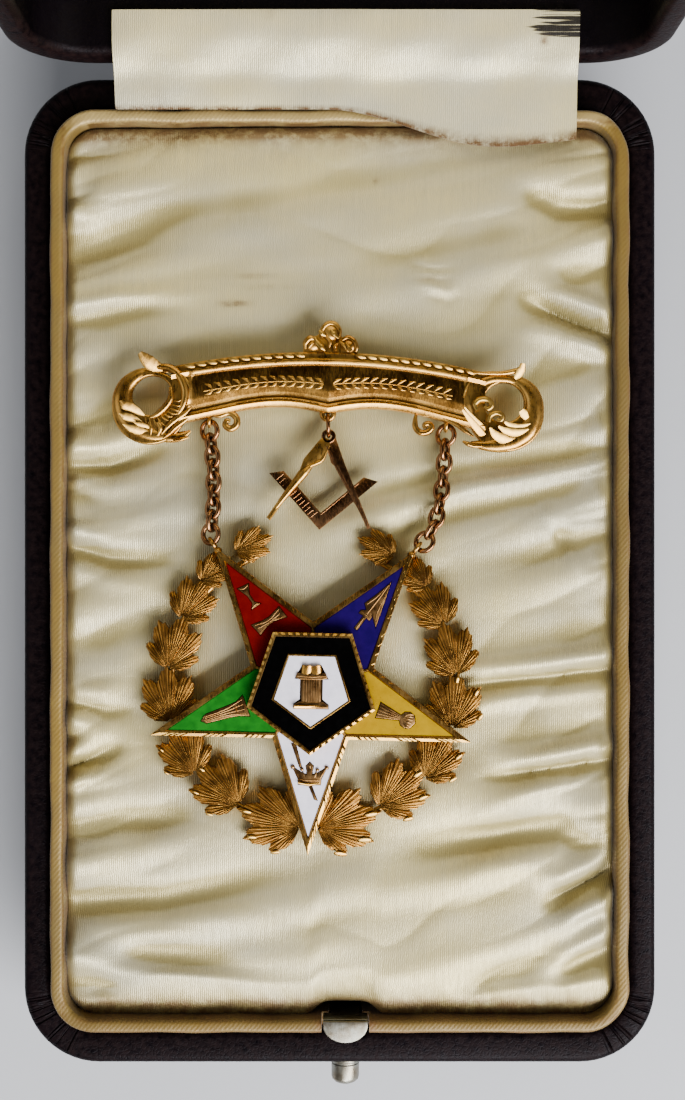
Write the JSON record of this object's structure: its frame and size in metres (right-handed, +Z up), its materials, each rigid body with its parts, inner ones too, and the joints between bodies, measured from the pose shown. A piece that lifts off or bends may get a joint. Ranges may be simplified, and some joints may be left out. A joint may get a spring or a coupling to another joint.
{
  "type": "masonic jewel in a hinged presentation box",
  "caption": "Enamelled star in a leaf wreath, hung by chains from a bar brooch with a square-and-compasses drop, lying in its open satin-lined box.",
  "frame": {"origin": "centre of the box base's underside, on the surface it stands on", "axes": "+Z up; +X towards the right when facing the button; +Y towards the hinged lid, so that -Y faces the user"},
  "size_m": [0.067, 0.1196, 0.1191],
  "materials": {
    "leather": "grained leather over card and wood, worn",
    "collar_satin": "old satin over card",
    "satin": "ruched cream satin",
    "nickelled_steel": "polished",
    "brass": "plain",
    "gold": "gilt, cast and engraved",
    "rose_gold": "gilt, tarnished",
    "enamel_red": "polished enamel",
    "enamel_blue": "polished enamel",
    "enamel_yellow": "polished enamel",
    "enamel_white": "polished enamel",
    "enamel_green": "polished enamel",
    "enamel_black": "polished enamel"
  },
  "bodies": {
    "base": {"box_base": "leather", "collar": "collar_satin", "cushion": "satin", "hinge_base_leaf": "brass", "hinge_pin": "brass", "hinge_ribbon": "satin", "brooch_bar": "gold", "brooch_pin": "gold", "chain_left_top_ring": "rose_gold", "chain_left_link_1": "rose_gold", "chain_left_link_2": "rose_gold", "chain_left_link_3": "rose_gold", "chain_left_link_4": "rose_gold", "chain_left_link_5": "rose_gold", "chain_left_link_6": "rose_gold", "chain_left_link_7": "rose_gold", "chain_left_bottom_ring": "rose_gold", "chain_right_top_ring": "rose_gold", "chain_right_link_1": "rose_gold", "chain_right_link_2": "rose_gold", "chain_right_link_3": "rose_gold", "chain_right_link_4": "rose_gold", "chain_right_link_5": "rose_gold", "chain_right_link_6": "rose_gold", "chain_right_link_7": "rose_gold", "chain_right_bottom_ring": "rose_gold", "drop_ring": "rose_gold", "square_and_compasses": "rose_gold", "star_wreath": "gold", "enamel_red": "enamel_red", "enamel_blue": "enamel_blue", "enamel_yellow": "enamel_yellow", "enamel_white": "enamel_white", "enamel_green": "enamel_green", "centre_pentagon": "gold", "enamel_black": "enamel_black", "enamel_centre_white": "enamel_white"},
    "lid": {"lid_shell": "leather", "lid_lining": "satin", "lid_strike": "nickelled_steel", "hinge_lid_leaf": "brass"},
    "catch": {"catch_plate": "nickelled_steel", "push_button": "nickelled_steel"}
  },
  "joints": [
    {"name": "lid_hinge", "type": "hinge", "parent": "base", "child": "lid", "pos_m": [0, 0.0529, 0.014], "axis": [1, 0, 0], "range_deg": [0, 90], "deforming": ["hinge_ribbon"]},
    {"name": "button_press", "type": "slide", "parent": "base", "child": "catch", "axis": [0, 1, 0], "range_m": [0, 0.0012], "stiffness_N_per_m": 300}
  ]
}
